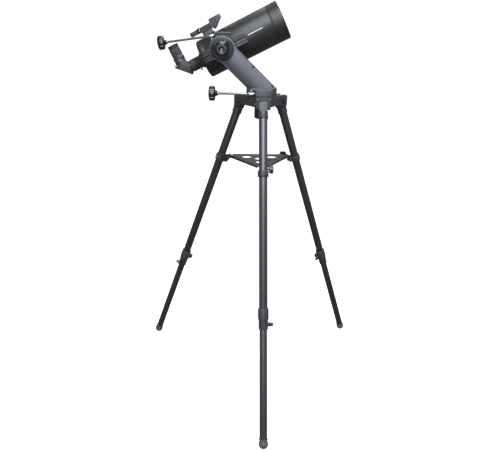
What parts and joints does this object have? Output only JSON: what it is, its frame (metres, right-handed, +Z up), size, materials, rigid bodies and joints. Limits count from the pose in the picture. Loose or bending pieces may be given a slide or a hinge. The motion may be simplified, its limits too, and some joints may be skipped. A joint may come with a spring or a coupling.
{
  "type": "maksutov telescope",
  "caption": "Short catadioptric telescope on a single-arm altazimuth head with slow-motion controls, star diagonal, red-dot finder and folding tripod with accessory tray.",
  "frame": {"origin": "on the floor, under the azimuth axis at the centre of the tripod", "axes": "+Z up, +X the way the tube points seen from above, +Y the side of the arm that carries the tube"},
  "size_m": [0.7622, 0.6881, 1.2244],
  "materials": {
    "tube_black": "satin black",
    "head_grey": "satin dark grey metallic",
    "casting_black": "satin black",
    "leg_grey": "satin dark grey metallic",
    "foot_rubber": "matt",
    "knob_black": "gloss black",
    "tray_black": "satin black",
    "rod_chrome": "polished",
    "steel": "brushed",
    "brass_gear": "machined",
    "black_metal": "black anodised",
    "optic_glass": "coated",
    "mirror_glass": "polished",
    "matte_black": "matt black"
  },
  "bodies": {
    "tripod": {"tripod_crown": "casting_black", "hinge_bolts": "steel", "azimuth_base": "black_metal", "azimuth_wheel": "brass_gear"},
    "head": {"azimuth_housing": "head_grey", "azimuth_worm_block": "head_grey", "arm": "head_grey", "arm_screws": "steel", "altitude_worm_block": "head_grey"},
    "azimuth_drive": {"azimuth_worm": "steel", "azimuth_rod": "rod_chrome", "azimuth_knob": "knob_black"},
    "altitude_drive": {"altitude_worm": "steel", "altitude_rod": "rod_chrome", "altitude_knob": "knob_black"},
    "telescope": {"altitude_axle": "steel", "altitude_wheel": "brass_gear", "altitude_dial": "black_metal", "dovetail_rail": "black_metal", "main_tube": "tube_black", "front_ring": "tube_black", "rear_cell": "tube_black", "meniscus_lens": "optic_glass", "baffle_tube": "black_metal", "visual_back": "black_metal", "finder_base": "matte_black", "finder_body": "matte_black"},
    "clutch": {"clutch_knob": "knob_black"},
    "mirror": {"primary_mirror": "mirror_glass"},
    "focus": {"focus_knob": "knob_black"},
    "diagonal": {"star_diagonal": "matte_black", "diagonal_prism": "optic_glass"},
    "eyepiece": {"eyepiece": "matte_black", "eyepiece_lenses": "optic_glass"},
    "finder_wheel": {"finder_wheel": "knob_black"},
    "head_knob": {"head_knob": "knob_black"},
    "azimuth_lever": {"azimuth_lever": "black_metal"},
    "tray": {"accessory_tray": "tray_black", "tray_knobs": "knob_black"},
    "leg_front": {"leg_cap_front": "casting_black", "upper_tube_front": "leg_grey", "lock_collar_front": "casting_black", "tray_collar_front": "casting_black"},
    "lower_leg_front": {"lower_tube_front": "leg_grey", "foot_front": "foot_rubber"},
    "lock_knob_front": {"lock_knob_front": "knob_black"},
    "leg_left": {"leg_cap_left": "casting_black", "upper_tube_left": "leg_grey", "lock_collar_left": "casting_black", "tray_collar_left": "casting_black"},
    "lower_leg_left": {"lower_tube_left": "leg_grey", "foot_left": "foot_rubber"},
    "lock_knob_left": {"lock_knob_left": "knob_black"},
    "leg_right": {"leg_cap_right": "casting_black", "upper_tube_right": "leg_grey", "lock_collar_right": "casting_black", "tray_collar_right": "casting_black"},
    "lower_leg_right": {"lower_tube_right": "leg_grey", "foot_right": "foot_rubber"},
    "lock_knob_right": {"lock_knob_right": "knob_black"}
  },
  "joints": [
    {"name": "azimuth_turn", "type": "hinge", "parent": "tripod", "child": "head", "pos_m": [0, 0, 0.966], "axis": [0, 0, 1], "continuous": true},
    {"name": "azimuth_drive_spin", "type": "hinge", "parent": "head", "child": "azimuth_drive", "pos_m": [0.0045, -0.042, 0.962], "axis": [-1, 0, 0], "continuous": true},
    {"name": "altitude_tilt", "type": "hinge", "parent": "head", "child": "telescope", "pos_m": [-0.118, 0, 1.086], "axis": [0, -1, 0], "range_deg": [-32, 63]},
    {"name": "altitude_drive_spin", "type": "hinge", "parent": "head", "child": "altitude_drive", "pos_m": [-0.12362, 0, 1.12409], "axis": [-0.9893, 0, -0.1461], "continuous": true},
    {"name": "clutch_turn", "type": "hinge", "parent": "telescope", "child": "clutch", "pos_m": [-0.118, -0.05, 1.086], "axis": [0, -1, 0], "range_deg": [-120, 30]},
    {"name": "focus_turn", "type": "hinge", "parent": "telescope", "child": "focus", "pos_m": [-0.18733, 0.1405, 1.04583], "axis": [0.892, 0, 0.452], "range_deg": [-1440, 1440]},
    {"name": "mirror_slide", "type": "slide", "parent": "telescope", "child": "mirror", "axis": [0.892, 0, 0.452], "range_m": [-0.004, 0.004]},
    {"name": "diagonal_turn", "type": "hinge", "parent": "telescope", "child": "diagonal", "pos_m": [-0.20071, 0.1045, 1.03905], "axis": [0.892, 0, 0.452], "range_deg": [-90, 90]},
    {"name": "eyepiece_slide", "type": "slide", "parent": "diagonal", "child": "eyepiece", "axis": [-0.452, 0, 0.892], "range_m": [0, 0.014]},
    {"name": "finder_wheel_turn", "type": "hinge", "parent": "telescope", "child": "finder_wheel", "pos_m": [-0.19656, 0.0925, 1.1342], "axis": [0, -1, 0], "range_deg": [0, 330]},
    {"name": "head_knob_turn", "type": "hinge", "parent": "tripod", "child": "head_knob", "pos_m": [0, 0, 0.905], "axis": [0, 0, 1], "range_deg": [-720, 0]},
    {"name": "azimuth_lever_swing", "type": "hinge", "parent": "tripod", "child": "azimuth_lever", "pos_m": [0, 0, 0.9233], "axis": [0, 0, 1], "range_deg": [-45, 0]},
    {"name": "tray_drop", "type": "slide", "parent": "tripod", "child": "tray", "axis": [0, 0, 1], "range_m": [-0.7, 0]},
    {"name": "fold_front", "type": "hinge", "parent": "tripod", "child": "leg_front", "pos_m": [0.00461, -0.06992, 0.935], "axis": [0.9978, 0.0658, 0], "range_deg": [0, 17]},
    {"name": "extend_front", "type": "slide", "parent": "leg_front", "child": "lower_leg_front", "axis": [0.0236, -0.3586, -0.9332], "range_m": [-0.28, 0]},
    {"name": "lock_turn_front", "type": "hinge", "parent": "leg_front", "child": "lock_knob_front", "pos_m": [0.01973, -0.2994, 0.33775], "axis": [0.9978, 0.0658, 0], "range_deg": [0, 360]},
    {"name": "fold_left", "type": "hinge", "parent": "tripod", "child": "leg_left", "pos_m": [-0.06285, 0.03097, 0.935], "axis": [-0.442, -0.897, 0], "range_deg": [0, 17]},
    {"name": "extend_left", "type": "slide", "parent": "leg_left", "child": "lower_leg_left", "axis": [-0.3223, 0.1588, -0.9332], "range_m": [-0.28, 0]},
    {"name": "lock_turn_left", "type": "hinge", "parent": "leg_left", "child": "lock_knob_left", "pos_m": [-0.26915, 0.13262, 0.33775], "axis": [-0.442, -0.897, 0], "range_deg": [0, 360]},
    {"name": "fold_right", "type": "hinge", "parent": "tripod", "child": "leg_right", "pos_m": [0.05825, 0.03895, 0.935], "axis": [-0.5559, 0.8313, 0], "range_deg": [0, 17]},
    {"name": "extend_right", "type": "slide", "parent": "leg_right", "child": "lower_leg_right", "axis": [0.2987, 0.1997, -0.9332], "range_m": [-0.28, 0]},
    {"name": "lock_turn_right", "type": "hinge", "parent": "leg_right", "child": "lock_knob_right", "pos_m": [0.24943, 0.16679, 0.33775], "axis": [-0.5559, 0.8313, 0], "range_deg": [0, 360]}
  ],
  "couplings": [
    {"joint": "azimuth_drive_spin", "follows": "azimuth_turn", "ratio": -72},
    {"joint": "altitude_drive_spin", "follows": "altitude_tilt", "ratio": 64},
    {"joint": "focus_turn", "follows": "mirror_slide", "rad_per_m": 6283.2},
    {"joint": "fold_left", "follows": "fold_front", "ratio": 1},
    {"joint": "fold_right", "follows": "fold_front", "ratio": 1},
    {"joint": "tray_drop", "follows": "fold_front", "m_per_rad": -2.3}
  ]
}
